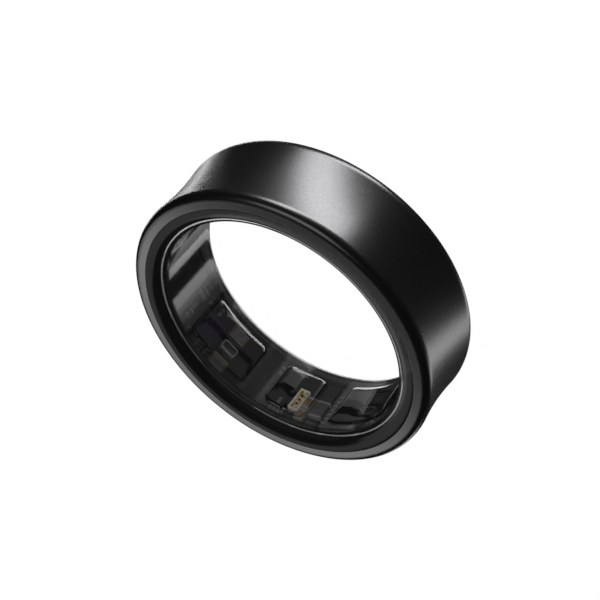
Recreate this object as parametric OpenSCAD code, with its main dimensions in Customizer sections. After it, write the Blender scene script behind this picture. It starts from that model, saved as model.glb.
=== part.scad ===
// Smart ring worn on a finger: a coated metal band round a clear moulded lining. The lining
// closes a chamber that holds the optical sensors, the circuit, a curved battery and a coil.
// The ring lies flat on its lower rim. +Z runs along the bore, and the origin is the middle of
// the lower rim. The sensor windows face the bore from its +Y side.
// The chamber is built from the bore outwards, so each layer takes its place from the one inside.

/* [Bore and lining] */
// Radius of the finger bore
bore_r = 9.5; // [9:0.1:11.2]
// Thickness of the lining over the electronics
lining_wall = 0.35; // [0.3:0.01:0.5]
// Height of the lining's flange along the axis, at each rim
flange_h = 0.75; // [0.7:0.01:0.85]
// Height over which the lining rounds from the rim into the bore
lining_round_h = 0.64; // [0.5:0.01:0.68]
// Clearance between the lining's flange and the shell's lip
seam_gap = 0.02; // [0.01:0.01:0.05]

/* [Outer shell] */
// Width of the ring along the finger
ring_width = 7; // [6.8:0.1:8]
// Thickness of the metal behind the waist
shell_wall = 0.63; // [0.5:0.01:0.9]
// Depth of the hollow in the middle of the outer face
waist_depth = 0.17; // [0.1:0.01:0.3]
// Width of the flat land on each rim
land_w = 0.53; // [0.4:0.01:0.6]
// Height over which the outer face rounds into the rim
edge_round_h = 0.69; // [0.5:0.01:0.9]
// How far the shell's lip reaches in from the channel
lip_reach = 0.3; // [0.2:0.01:0.4]
// Height of the shell's lip along the axis
lip_h = 0.6; // [0.4:0.01:0.7]

/* [Sensor windows] */
// Angle between neighbouring windows
window_pitch = 40; // [38:0.5:44]
// Length of each side window round the bore
side_window_len = 5.6; // [5.2:0.1:5.8]
// Length of the centre window round the bore
centre_window_len = 3.3; // [3:0.1:3.6]
// Height of the windows along the axis
window_h = 4.35; // [4:0.05:4.6]
// Corner radius of the windows
window_corner_r = 0.5; // [0.3:0.05:0.8]
// How far the windows stand into the bore
window_rise = 0.2; // [0.1:0.01:0.22]
// Radius of the windows' rounded edge
window_edge_r = 0.12; // [0.05:0.01:0.18]

/* [Circuit] */
// Height of the tallest part on the circuit's inner face
optics_h = 0.55; // [0.5:0.01:0.7]
// Thickness of the flexible circuit
flex_t = 0.12; // [0.08:0.01:0.2]
// Half of the angle that the flexible circuit spans
flex_half_arc = 102; // [100:1:104]
// Height of the narrow necks of the flexible circuit
neck_h = 2.8; // [2:0.1:4]
// Height of the tallest chip on the circuit's outer face
chip_h = 0.45; // [0.4:0.01:0.6]
// Thickness of the steel stiffeners
stiffener_t = 0.1; // [0.08:0.01:0.15]
// Thickness of the solder under a part
solder_t = 0.02; // [0.01:0.01:0.04]
// Clearance between loose pieces in the chamber
part_gap = 0.05; // [0.03:0.01:0.08]
// Clearance between laminated layers
layer_gap = 0.01; // [0.01:0.005:0.02]

/* [Chips] */
// Side of the square radio processor
processor_w = 2.4; // [2:0.1:2.6]
// Side of the square memory chip
memory_w = 2; // [1.6:0.1:2.2]
// Side of the square power chip
power_chip_w = 2; // [1.6:0.1:2.2]
// Side of the square charging chip
charging_chip_w = 1.7; // [1.4:0.1:1.8]
// Side of the square accelerometer
accelerometer_w = 1.9; // [1.6:0.1:2]
// Length of a crystal can
crystal_l = 1.6; // [1.2:0.1:2]
// Width of a crystal can
crystal_w = 1; // [0.8:0.1:1.2]
// Width of the optical front end chip round the bore
front_end_w = 1.1; // [0.9:0.05:1.2]
// Height of the optical front end chip along the axis
front_end_l = 1.6; // [1.3:0.1:1.7]

/* [Side window optics] */
// Width of the photodiodes and of the light source frame round the bore
photodiode_w = 1.46; // [1.3:0.02:1.5]
// Height of a photodiode along the axis
photodiode_l = 1.2; // [1:0.05:1.3]
// Distance from the light source to each photodiode along the axis
column_pitch = 1.56; // [1.45:0.01:1.6]
// Distance from a window's middle to its column of photodiodes
column_along = 0.6; // [0.5:0.01:0.7]
// Height of the light source frame along the axis
led_frame_l = 0.84; // [0.7:0.02:0.9]
// Wall of the light source frame
led_frame_wall = 0.13; // [0.1:0.01:0.16]
// Side of a light-emitting die
die_w = 0.24; // [0.18:0.01:0.26]
// Thickness of a light barrier
barrier_t = 0.12; // [0.08:0.01:0.14]
// Width of the broad photodiode round the bore
broad_w = 2.1; // [1.8:0.05:2.2]
// Height of the broad photodiode along the axis
broad_l = 2.3; // [2:0.05:2.4]
// Distance from a window's middle to its broad photodiode
broad_along = 1.7; // [1.7:0.01:1.8]
// Height of a photodiode above the circuit
photodiode_h = 0.35; // [0.25:0.01:0.45]

/* [Centre window optics] */
// Width of the light source package round the bore
package_w = 0.84; // [0.7:0.02:0.9]
// Height of the light source package along the axis
package_l = 2.1; // [1.8:0.05:2.3]
// Height of the light source package above the circuit
package_h = 0.45; // [0.35:0.01:0.5]
// Side of the small black emitter
emitter_w = 0.55; // [0.4:0.01:0.6]
// Width of a bulk capacitor round the bore
bulk_w = 0.76; // [0.6:0.02:0.8]
// Length of a bulk capacitor along the axis
bulk_l = 1.2; // [1:0.05:1.25]
// Width of the inductor round the bore
inductor_w = 1.1; // [0.9:0.05:1.15]
// Length of the inductor along the axis
inductor_l = 1.75; // [1.5:0.05:1.8]

/* [Battery] */
// Half of the angle that the battery cell spans
cell_half_arc = 66; // [60:1:66]
// Radius of the cell's rounded long edges
cell_edge_r = 0.35; // [0.2:0.05:0.4]
// Thickness of the cell's tabs
tab_t = 0.08; // [0.05:0.01:0.12]
// Thickness of the battery adhesive
adhesive_t = 0.05; // [0.03:0.01:0.1]
// Thickness of the protection board
board_t = 0.25; // [0.2:0.01:0.3]
// Thickness of the insulating tape
tape_t = 0.04; // [0.03:0.01:0.06]

/* [Charging coil] */
// Number of turns in the charging coil
coil_turns = 5; // [3:1:6]
// Width of the coil's copper track
track_w = 0.18; // [0.12:0.01:0.2]
// Distance between neighbouring tracks
track_pitch = 0.34; // [0.3:0.01:0.36]
// Thickness of the coil's copper
coil_t = 0.06; // [0.04:0.01:0.08]
// Thickness of the coil's film
film_t = 0.05; // [0.04:0.01:0.08]
// Thickness of the ferrite sheet
ferrite_t = 0.12; // [0.1:0.01:0.2]
// Half of the angle that the coil's film spans
film_half_arc = 62; // [58:1:64]

/* [Antenna] */
// Inner radius of the antenna strip, past the lining wall
antenna_inset = 0.25; // [0.15:0.01:0.3]
// Width of the antenna strip
antenna_w = 0.3; // [0.2:0.01:0.35]
// Thickness of the antenna strip
antenna_t = 0.06; // [0.05:0.01:0.08]
// Half of the angle that the antenna strip spans
antenna_half_arc = 68; // [60:1:70]

/* [Hidden] */
$fn = 120;
// Facets of a window's or a frame's round corner
corner_facets = 24;
// Number of straight pieces in each half of the waist and in each rounded edge
waist_steps = 14;
round_steps = 10;
// Exponents of the outer edge, the waist and the lining's rounding
edge_power = 2.24;
waist_power = 1.96;
lining_power = 2.3;
// How far a cutting or joining shape runs past what it meets
overrun = 0.1;

// Directions of the windows' middle, the battery's middle, and the sides left and right
front = 90;
back = 270;
left = 1;
right = -1;

// Heights
mid_z = ring_width / 2;
half_w = ring_width / 2;
chamber_half = half_w - max(flange_h, lip_h);
layer_half = chamber_half - part_gap;

// Radii, from the bore outwards
lining_out_r = bore_r + lining_wall;
flex_in_r = sqrt(pow(lining_out_r + part_gap + optics_h, 2) + pow(photodiode_w / 2, 2)) + solder_t;
flex_out_r = flex_in_r + flex_t;
chip_top_r = sqrt(pow(flex_out_r + solder_t + chip_h, 2) + pow(processor_w / 2, 2));
channel_r = chip_top_r + part_gap;
seam_r = channel_r - lip_reach;
land_out_r = seam_r + land_w;
rim_r = channel_r + shell_wall + waist_depth;
face_r = seam_r - seam_gap;

// The battery's stack of layers
coil_in_r = lining_out_r + part_gap;
film_in_r = coil_in_r + coil_t + layer_gap;
film_out_r = film_in_r + film_t;
ferrite_in_r = film_out_r + layer_gap;
cell_in_r = ferrite_in_r + ferrite_t + layer_gap;
cell_out_r = channel_r - adhesive_t - 2 * layer_gap;
cell_from = back - cell_half_arc;
cell_to = back + cell_half_arc;

// Angles of the pieces that lie between the circuit and the battery
flex_from = front - flex_half_arc;
flex_to = front + flex_half_arc;
board_gap = 0.1;
board_from = flex_to + arc(board_gap, flex_in_r);
board_to = cell_from - arc(board_gap, flex_in_r);
board_out_r = flex_in_r + board_t;
board_mid = (board_from + board_to) / 2;
tab_h = 1;
tab_up = 1.2;
tab_overlap = 0.6;
tab_in_r = board_out_r + solder_t;
tail_h = 1.2;
tail_overlap = 0.9;
tail_to = flex_from + 360 + arc(tail_overlap, flex_in_r);

// Places of the outer chips, as angles from the front
processor_at = -20;
memory_at = 20;
power_chip_at = -63;
charging_chip_at = -78;
accelerometer_at = 63;
crystal_at_list = [-91, 74];
neck_at_list = [-96, 90];
neck_len = 0.9;

// Places of the centre parts, round the bore and along the axis
package_along = 0.31;
package_up = 0.1;
package_cavity = 0.12;
package_wall = 0.1;
pad_w = 0.2;
pad_l = 0.26;
centre_die_w = 0.17;
centre_die_h = 0.06;
centre_die_pitch = 0.42;
emitter_along = -0.58;
emitter_up = -0.36;
emitter_h = 0.3;
bulk_along = 1.17;
bulk_up_list = [1.32, 0.02];
bulk_h = 0.42;
end_l = 0.24;
inductor_along = 2.24;
inductor_up = 0.3;
front_end_along = 2.24;
front_end_up = -1.5;
contact_t = 0.04;
contact_l = 0.08;
contact_count = 6;
led_frame_r = 0.21;
led_cavity_r = 0.14;
cavity_depth = 0.35;
die_h = 0.1;
die_along = 0.24;
clip_l = 0.3;
clip_at = 66;
test_pad_w = 0.35;
test_pad_l = 0.12;
test_pad_h = 0.03;
test_pad_pitch = 0.48;
test_pad_count = 8;
test_pad_along = 3.05;
temperature_w = 0.8;
temperature_l = 1.1;
temperature_at_list = [-17, 70];
connector_l = 1.1;
connector_h = 3.6;
connector_t = 0.12;
connector_half_arc = arc(connector_l, flex_out_r) / 2;
connector_at = flex_to - 2 * connector_half_arc;
socket_r = flex_out_r + solder_t;
plug_r = socket_r + connector_t + layer_gap;
lead_r = plug_r + connector_t + layer_gap;
lead_t = 0.08;
lead_h = 2.4;

// Small parts beside the optics of a side window: place round the bore and along the axis as
// shares of the window's length and half height, then width and length as shares of the same
side_part_shares = [
    [-0.31, 0.83, 0.05, 0.32], [-0.31, -0.83, 0.05, 0.32], [-0.53, 0.82, 0.036, 0.34],
    [-0.53, -0.82, 0.036, 0.34], [-0.13, 0.83, 0.022, 0.28], [-0.215, 0.83, 0.022, 0.28],
    [-0.68, 0.36, 0.1, 0.32], [-0.71, 0, 0.07, 0.2], [-0.71, -0.66, 0.17, 0.32]];
// The same beside the centre window's optics, as shares of the window's height each way
centre_part_shares = [
    [0.485, 0.435, 0.12, 0.12], [0.6, 0.435, 0.08, 0.12], [-0.075, 0.355, 0.045, 0.13],
    [-0.145, 0.4, 0.05, 0.1], [-0.225, 0.4, 0.05, 0.1], [-0.305, 0.41, 0.05, 0.1],
    [-0.53, -0.4, 0.055, 0.17], [-0.24, 0.18, 0.06, 0.12]];
small_part_h = 0.25;

// Angle of an arc of a given length at a given radius
function arc(length, r) = length * 180 / (PI * r);
// Radius at which a flat part's corners meet the circuit's curved inner face
function seat_in_r(w) = sqrt(pow(flex_in_r - solder_t, 2) - pow(w / 2, 2));
// Direction of a side window's middle
function side_angle(side) = front + side * window_pitch;
// Direction of a place in a side window, counted towards the centre window
function side_place(side, along) = side_angle(side) - side * arc(along, flex_in_r);
// Direction of a place beside the centre window, counted to the left
function centre_place(along) = front + arc(along, flex_in_r);
// Points of a rounded edge that starts flat along the axis and ends flat along the radius
function round_edge(r, z, r_size, z_size, power) = [
    for (i = [0:round_steps])
        let (t = 90 * i / round_steps)
        [r + r_size * pow(cos(t), 2 / power), z + z_size * pow(sin(t), 2 / power)]];
// Adds the mirror image of an upper outline below the middle plane
function both_halves(points) = concat(points,
    [for (i = [len(points) - 1:-1:0]) [points[i][0], -points[i][1]]]);

// Turns and lifts a piece that is drawn on +X about the middle plane
module at(angle, up = 0) {
    rotate([0, 0, angle]) translate([0, 0, mid_z + up]) children();
}

// A curved layer between two radii, two heights and two angles
module layer(r_in, r_out, z_from, z_to, from, to) {
    at(from)
        rotate_extrude(angle = to - from)
            translate([r_in, z_from]) square([r_out - r_in, z_to - z_from]);
}

// A rectangle about the origin with round corners
module round_rect(x, y, r) {
    square([x - 2 * r, y], center = true);
    square([x, y - 2 * r], center = true);
    for (i = [-1, 1], j = [-1, 1])
        translate([i * (x / 2 - r), j * (y / 2 - r)]) circle(r, $fn = corner_facets);
}

// Places a part that is drawn standing on x = 0, on the circuit's inner face
module seated(angle, up, w) {
    at(angle, up) translate([seat_in_r(w), 0, 0]) mirror([1, 0, 0]) children();
}

// A flat part: height above the circuit, width round the bore, length along the axis
module block(h, w, l) {
    translate([0, -w / 2, -l / 2]) cube([h, w, l]);
}

module inner_part(angle, up, h, w, l) {
    seated(angle, up, w) block(h, w, l);
}

module outer_part(angle, up, h, w, l) {
    at(angle, up) translate([flex_out_r + solder_t, 0, 0]) block(h, w, l);
}

// The coated band: hollow waist, round edges, a flat land on each rim and a channel inside
module outer_shell() {
    zc = half_w - edge_round_h;
    waist = [for (i = [1:waist_steps - 1])
        let (share = i / waist_steps)
        [rim_r - waist_depth * (1 - pow(share, waist_power)), zc * share]];
    edge = round_edge(land_out_r, zc, rim_r - land_out_r, edge_round_h, edge_power);
    lip = [[seam_r, half_w], [seam_r, half_w - lip_h], [channel_r, half_w - lip_h]];
    color("#26262a")
        at(0) rotate_extrude() polygon(both_halves(concat(waist, edge, lip)));
}

// One raised sensor window: a curved pad with round corners and round long edges
module window_pad(angle, length) {
    chord = 2 * bore_r * sin(arc(length, bore_r) / 2);
    depth = window_rise + lining_wall / 2;
    intersection() {
        at(0) rotate_extrude()
            translate([bore_r - window_rise, 0])
                intersection() {
                    translate([depth, 0]) round_rect(2 * depth, window_h, window_edge_r);
                    translate([0, -window_h]) square([depth, 2 * window_h]);
                }
        at(angle) translate([bore_r / 2, 0, 0])
            rotate([0, 90, 0]) linear_extrude(bore_r)
                round_rect(window_h + layer_gap, chord, window_corner_r);
    }
}

// The clear moulding: the bore's wall, a flange at each rim and three raised windows
module inner_lining() {
    edge = round_edge(face_r, half_w - lining_round_h, bore_r - face_r, lining_round_h,
        lining_power);
    foot = [[face_r, chamber_half], [lining_out_r, chamber_half]];
    color("#3c3c40", 0.5) {
        at(0) rotate_extrude() polygon(both_halves(concat(edge, foot)));
        window_pad(front, centre_window_len);
        for (side = [left, right])
            window_pad(side_angle(side), side_window_len);
    }
}

// The flexible circuit: full height under the parts, with a narrow neck near each end
module main_flex() {
    neck = arc(neck_len, flex_in_r);
    color("#2f2a1c")
        difference() {
            layer(flex_in_r, flex_out_r, -layer_half, layer_half, flex_from, flex_to);
            for (middle = neck_at_list, z = [neck_h / 2, -layer_half - overrun])
                layer(flex_in_r - overrun, flex_out_r + overrun,
                    z, z + layer_half - neck_h / 2 + overrun,
                    front + middle - neck / 2, front + middle + neck / 2);
        }
}

// A steel plate that backs the circuit behind a window
module stiffener(angle, length) {
    half = arc(length, flex_out_r) / 2;
    r = flex_out_r + layer_gap;
    color("#8d8f92")
        layer(r, r + stiffener_t, -window_h / 2, window_h / 2, angle - half, angle + half);
}

module left_stiffener() {
    stiffener(side_angle(left), side_window_len - 2 * window_corner_r);
}

module centre_stiffener() {
    stiffener(front, centre_window_len - 2 * window_corner_r);
}

module right_stiffener() {
    stiffener(side_angle(right), side_window_len - 2 * window_corner_r);
}

module radio_processor() {
    color("#1d1d20") outer_part(front + processor_at, 0, chip_h, processor_w, processor_w);
}

module memory_chip() {
    color("#222226") outer_part(front + memory_at, 0, chip_h, memory_w, memory_w);
}

module power_chip() {
    color("#202024") outer_part(front + power_chip_at, 0, chip_h, power_chip_w, power_chip_w);
}

module charging_chip() {
    color("#1f2022")
        outer_part(front + charging_chip_at, 0, chip_h, charging_chip_w, charging_chip_w);
}

module accelerometer() {
    color("#2a2a2e")
        outer_part(front + accelerometer_at, 0, chip_h, accelerometer_w, accelerometer_w);
}

module optical_front_end() {
    color("#35363a")
        inner_part(centre_place(front_end_along), front_end_up, photodiode_h,
            front_end_w, front_end_l);
}

// The radio's and the clock's crystals, in metal cans
module crystals() {
    color("#b9babc")
        for (angle = crystal_at_list)
            outer_part(front + angle, 0, photodiode_h, crystal_w, crystal_l);
}

// The white ceramic package of the centre light source, with a shallow cavity
module centre_led_package() {
    color("#e8e4d8")
        seated(centre_place(package_along), package_up, package_w)
            difference() {
                block(package_h, package_w, package_l);
                translate([package_h - package_cavity, 0, 0])
                    block(package_cavity + overrun, package_w - 2 * package_wall,
                        package_l - 2 * package_wall);
            }
}

// Three small dies in a row in the centre package's cavity
module centre_led_dies() {
    color("#8c3a24")
        seated(centre_place(package_along), package_up, package_w)
            for (i = [-1:1])
                translate([package_h - package_cavity, 0, i * centre_die_pitch])
                    block(centre_die_h, centre_die_w, centre_die_w);
}

// Gold pads at both ends of the centre package's cavity
module centre_led_pads() {
    reach = package_l / 2 - package_wall - pad_l / 2;
    color("#d9a531")
        seated(centre_place(package_along), package_up, package_w)
            for (i = [-1, 1])
                translate([package_h - package_cavity, -pad_w / 2, i * reach])
                    block(contact_t, pad_w, pad_l);
}

module black_emitter() {
    color("#0c0c0d")
        inner_part(centre_place(emitter_along), emitter_up, emitter_h, emitter_w, emitter_w);
}

module bulk_capacitors() {
    color("#a58a6a")
        for (up = bulk_up_list)
            inner_part(centre_place(bulk_along), up, bulk_h, bulk_w, bulk_l - 2 * end_l);
}

module bulk_capacitor_ends() {
    color("#c9c9c6")
        for (up = bulk_up_list, i = [-1, 1])
            inner_part(centre_place(bulk_along), up + i * (bulk_l - end_l) / 2, bulk_h,
                bulk_w, end_l);
}

module inductor() {
    color("#5a5a5c")
        inner_part(centre_place(inductor_along), inductor_up, bulk_h, inductor_w,
            inductor_l - 2 * end_l);
}

module inductor_ends() {
    color("#c4c4c2")
        for (i = [-1, 1])
            inner_part(centre_place(inductor_along), inductor_up + i * (inductor_l - end_l) / 2,
                bulk_h, inductor_w, end_l);
}

// Small capacitors beside the centre window's optics
module small_capacitors() {
    color("#9a9890")
        for (s = centre_part_shares)
            inner_part(centre_place(s[0] * window_h), s[1] * window_h, small_part_h,
                s[2] * window_h, s[3] * window_h);
}

// Small resistors beside the optics of both side windows
module small_resistors() {
    color("#a8a8a4")
        for (side = [left, right], s = side_part_shares)
            inner_part(side_place(side, s[0] * side_window_len), s[1] * window_h / 2,
                small_part_h, s[2] * side_window_len, s[3] * window_h / 2);
}

// A column of bare pads between the centre window and the left one
module test_pads() {
    color("#cfcfca")
        for (i = [0:test_pad_count - 1])
            inner_part(centre_place(test_pad_along), (i - (test_pad_count - 1) / 2) * test_pad_pitch,
                test_pad_h, test_pad_w, test_pad_l);
}

module temperature_sensors() {
    color("#1a1a1c")
        for (angle = temperature_at_list)
            inner_part(front + angle, 0, optics_h, temperature_w, temperature_l);
}

// The pale frame round a side window's light source
module led_frame(side) {
    color("#cfcfca")
        seated(side_place(side, column_along), 0, photodiode_w)
            difference() {
                rotate([0, 90, 0]) linear_extrude(optics_h)
                    round_rect(led_frame_l, photodiode_w, led_frame_r);
                translate([optics_h - cavity_depth, 0, 0])
                    rotate([0, 90, 0]) linear_extrude(cavity_depth + overrun)
                        round_rect(led_frame_l - 2 * led_frame_wall,
                            photodiode_w - 2 * led_frame_wall, led_cavity_r);
            }
}

// Two dies on the floor of a side window's frame
module led_dies(side) {
    color("#c9b458")
        seated(side_place(side, column_along), 0, photodiode_w)
            for (i = [-1, 1])
                translate([optics_h - cavity_depth, i * die_along, 0])
                    block(die_h, die_w, die_w);
}

module photodiode(side, row) {
    color("#6f7074")
        inner_part(side_place(side, column_along), row * column_pitch, photodiode_h,
            photodiode_w, photodiode_l);
}

module broad_photodiode(side) {
    color("#2c2230")
        inner_part(side_place(side, -broad_along), 0, photodiode_h, broad_w, broad_l);
}

// Dark walls that keep the light source's light off the photodiodes beside it
module light_barriers(side) {
    up = (column_pitch - photodiode_l / 2 + led_frame_l / 2) / 2;
    color("#141416")
        for (i = [-1, 1])
            inner_part(side_place(side, column_along), i * up, optics_h, photodiode_w, barrier_t);
}

module left_led_frame() { led_frame(left); }
module left_led_dies() { led_dies(left); }
module left_upper_photodiode() { photodiode(left, 1); }
module left_lower_photodiode() { photodiode(left, -1); }
module left_broad_photodiode() { broad_photodiode(left); }
module left_light_barriers() { light_barriers(left); }
module right_led_frame() { led_frame(right); }
module right_led_dies() { led_dies(right); }
module right_upper_photodiode() { photodiode(right, 1); }
module right_lower_photodiode() { photodiode(right, -1); }
module right_broad_photodiode() { broad_photodiode(right); }
module right_light_barriers() { light_barriers(right); }

// Gold contacts down both long edges of the four photodiodes
module photodiode_contacts() {
    pitch = photodiode_l / contact_count;
    color("#d2a23a")
        for (side = [left, right], row = [-1, 1])
            seated(side_place(side, column_along), row * column_pitch, photodiode_w)
                for (edge = [-1, 1], i = [0:contact_count - 1])
                    translate([0, edge * (photodiode_w + contact_t) / 2,
                        (i - (contact_count - 1) / 2) * pitch])
                        block(photodiode_h, contact_t, contact_l);
}

// A flat strip under the upper flange, seen through the lining's face
module antenna() {
    r = lining_out_r + antenna_inset;
    color("#9c8a3c")
        layer(r, r + antenna_w, layer_half - antenna_t, layer_half,
            front - antenna_half_arc, front + antenna_half_arc);
}

// The spring clip that feeds the antenna from the circuit
module antenna_clip() {
    top = layer_half - antenna_t - layer_gap;
    h = flex_in_r - solder_t - lining_out_r - antenna_inset;
    color("#c79a3a")
        inner_part(front + clip_at, top - clip_l / 2, h, clip_l, clip_l);
}

// The pouch cell: a curved pack with rounded long edges
module battery_cell() {
    color("#a9abae")
        at(cell_from) rotate_extrude(angle = cell_to - cell_from)
            translate([(cell_in_r + cell_out_r) / 2, 0])
                round_rect(cell_out_r - cell_in_r, 2 * layer_half, cell_edge_r);
}

// A nickel strip from the cell's end to the protection board
module battery_tab(row) {
    color("#c8c4b8")
        layer(tab_in_r, tab_in_r + tab_t, row * tab_up - tab_h / 2, row * tab_up + tab_h / 2,
            board_to - arc(tab_overlap, board_out_r), cell_from);
}

module positive_tab() { battery_tab(1); }
module negative_tab() { battery_tab(-1); }

module protection_board() {
    color("#1f4a33")
        layer(flex_in_r, board_out_r, -layer_half, layer_half, board_from, board_to);
}

module protection_chip() {
    color("#18181a")
        inner_part(board_mid, 0, chip_h, crystal_w, crystal_l);
}

// The tape over the protection board, flat as it is too short to bend
module insulating_tape() {
    width = 2 * coil_in_r * sin((board_to - board_from) / 2);
    color("#b8862c", 0.7)
        at(board_mid) translate([coil_in_r, 0, 0]) block(tape_t, width, 2 * layer_half);
}

module battery_adhesive() {
    r = cell_out_r + layer_gap;
    color("#d8d6cc")
        layer(r, r + adhesive_t, -layer_half + cell_edge_r, layer_half - cell_edge_r,
            cell_from, cell_to);
}

// The press connector on the circuit's outer face
module connector_half(r) {
    layer(r, r + connector_t, -connector_h / 2, connector_h / 2,
        connector_at - connector_half_arc, connector_at + connector_half_arc);
}

module connector_socket() {
    color("#141416") connector_half(socket_r);
}

module connector_plug() {
    color("#232326") connector_half(plug_r);
}

// The battery's lead: from the plug over to the protection board
module battery_lead() {
    joint = board_from + arc(tab_overlap, board_out_r);
    color("#7a4a1c") {
        layer(lead_r, lead_r + lead_t, -lead_h / 2, lead_h / 2,
            connector_at - connector_half_arc, joint);
        layer(tab_in_r, lead_r + lead_t, -lead_h / 2, lead_h / 2, board_from, joint);
    }
}

// The charging coil: a flat spiral of copper track on the film. Long runs go round the ring, and
// slimmer side runs join their ends, along the axis
module charging_coil() {
    step = arc(track_pitch, coil_in_r);
    half = film_half_arc - step;
    top = layer_half - track_pitch;
    color("#b87333")
        for (i = [0:coil_turns - 1]) {
            z = top - i * track_pitch;
            from = back - half + i * step;
            to = back + half - i * step;
            coil_run(0, z, z, from, to);
            coil_run(layer_gap, -z, z, to, to);
            coil_run(0, -z, -z, from + step, to);
            if (i < coil_turns - 1)
                coil_run(layer_gap, -z, z - track_pitch, from + step, from + step);
        }
}

// One straight run of the coil's track between two corners, slimmer all round by a given amount
module coil_run(slim, z_from, z_to, from, to) {
    reach = track_w / 2 - slim;
    reach_arc = arc(reach, coil_in_r);
    z_reach = slim > 0 ? 0 : reach;
    layer(coil_in_r + slim, coil_in_r + coil_t - slim, z_from - z_reach, z_to + z_reach,
        from - reach_arc, to + reach_arc);
}

module coil_film() {
    color("#6e4a1e")
        layer(film_in_r, film_out_r, -layer_half, layer_half,
            back - film_half_arc, back + film_half_arc);
}

module ferrite_sheet() {
    color("#3a3c3e")
        layer(ferrite_in_r, ferrite_in_r + ferrite_t, -layer_half, layer_half,
            back - film_half_arc, back + film_half_arc);
}

// The film's narrow tail, with its joint to the circuit's end
module coil_tail() {
    from = back + film_half_arc;
    joint_out_r = flex_in_r - solder_t;
    color("#7d5522")
        difference() {
            layer(film_in_r, joint_out_r, -tail_h / 2, tail_h / 2, from, tail_to);
            layer(film_out_r, joint_out_r + overrun, -tail_h, tail_h,
                from - arc(overrun, film_in_r), flex_from + 360);
        }
}

outer_shell();
inner_lining();
main_flex();
left_stiffener();
centre_stiffener();
right_stiffener();
radio_processor();
memory_chip();
power_chip();
charging_chip();
accelerometer();
optical_front_end();
crystals();
centre_led_package();
centre_led_dies();
centre_led_pads();
black_emitter();
bulk_capacitors();
bulk_capacitor_ends();
inductor();
inductor_ends();
small_capacitors();
small_resistors();
test_pads();
temperature_sensors();
left_led_frame();
left_led_dies();
left_upper_photodiode();
left_lower_photodiode();
left_broad_photodiode();
left_light_barriers();
right_led_frame();
right_led_dies();
right_upper_photodiode();
right_lower_photodiode();
right_broad_photodiode();
right_light_barriers();
photodiode_contacts();
antenna();
antenna_clip();
battery_cell();
positive_tab();
negative_tab();
protection_board();
protection_chip();
insulating_tape();
battery_adhesive();
battery_lead();
connector_socket();
connector_plug();
charging_coil();
coil_film();
ferrite_sheet();
coil_tail();
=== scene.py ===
# A smart ring lying on its lower rim: a satin black metal band round a smoky clear lining, with the
# optical sensors, the circuit and the battery behind the lining's three raised windows.
import math

import bpy
from mathutils import Matrix, Vector


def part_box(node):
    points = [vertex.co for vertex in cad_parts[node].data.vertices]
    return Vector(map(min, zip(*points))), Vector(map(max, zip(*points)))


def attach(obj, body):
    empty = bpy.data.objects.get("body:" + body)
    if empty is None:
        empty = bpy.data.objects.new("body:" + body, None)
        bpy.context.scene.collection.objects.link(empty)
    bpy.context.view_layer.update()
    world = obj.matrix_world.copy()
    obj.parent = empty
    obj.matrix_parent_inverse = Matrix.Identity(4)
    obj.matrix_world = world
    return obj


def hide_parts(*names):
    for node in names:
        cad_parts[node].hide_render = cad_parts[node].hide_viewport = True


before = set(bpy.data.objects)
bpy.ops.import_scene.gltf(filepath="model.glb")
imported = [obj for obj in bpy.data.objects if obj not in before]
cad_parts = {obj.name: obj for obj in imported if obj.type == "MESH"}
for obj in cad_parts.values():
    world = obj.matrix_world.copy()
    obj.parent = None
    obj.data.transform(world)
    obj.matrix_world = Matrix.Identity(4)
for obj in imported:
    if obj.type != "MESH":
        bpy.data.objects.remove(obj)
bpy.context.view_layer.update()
scene = bpy.context.scene


# Camera: a long lens about 116 mm from the ring's centre, above the upper rim and rolled over on its
# side, as the ring hangs tilted in the photograph.
bpy.ops.object.select_all(action="DESELECT")
bpy.ops.object.camera_add(
    location=(-0.0381222, -0.0834125, 0.0739557),
    rotation=tuple(math.radians(a) for a in (-45.0987, 30.0251, -178.2081)))
camera = bpy.context.active_object
camera.name = "camera"
camera.data.lens = 97.043
camera.data.sensor_width = 36.0
camera.data.clip_start = 0.005
camera.data.clip_end = 10.0
scene.camera = camera


# Floor: plain white board that the camera sees white, with a trace of the ring's soft shadow. The
# ring is lit in a dark studio, so its gloss doesn't mirror the board.
floor_gap = 0.00005
board_glow = 0.97
bpy.ops.mesh.primitive_circle_add(vertices=96, radius=1.5, fill_type="NGON", location=(0, 0, -floor_gap))
floor = bpy.context.active_object
floor.name = "floor"
floor.visible_glossy = False
floor.visible_shadow = False
board = bpy.data.materials.new("white_board")
board.use_nodes = True
nodes, links = board.node_tree.nodes, board.node_tree.links
paper = nodes["Principled BSDF"]
paper.inputs["Base Color"].default_value = (0.9, 0.9, 0.9, 1)
paper.inputs["Roughness"].default_value = 0.9
paper.inputs["Specular IOR Level"].default_value = 0.0
white = nodes.new("ShaderNodeEmission")
white.inputs["Strength"].default_value = 1.02
path = nodes.new("ShaderNodeLightPath")
seen = nodes.new("ShaderNodeMath")
seen.operation = "MAXIMUM"
links.new(path.outputs["Is Camera Ray"], seen.inputs[0])
links.new(path.outputs["Is Transmission Ray"], seen.inputs[1])
share = nodes.new("ShaderNodeMath")
share.operation = "MULTIPLY"
share.inputs[1].default_value = board_glow
links.new(seen.outputs[0], share.inputs[0])
blend = nodes.new("ShaderNodeMixShader")
links.new(share.outputs[0], blend.inputs["Fac"])
links.new(paper.outputs["BSDF"], blend.inputs[1])
links.new(white.outputs["Emission"], blend.inputs[2])
links.new(blend.outputs["Shader"], nodes["Material Output"].inputs["Surface"])
floor.data.materials.append(board)


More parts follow.
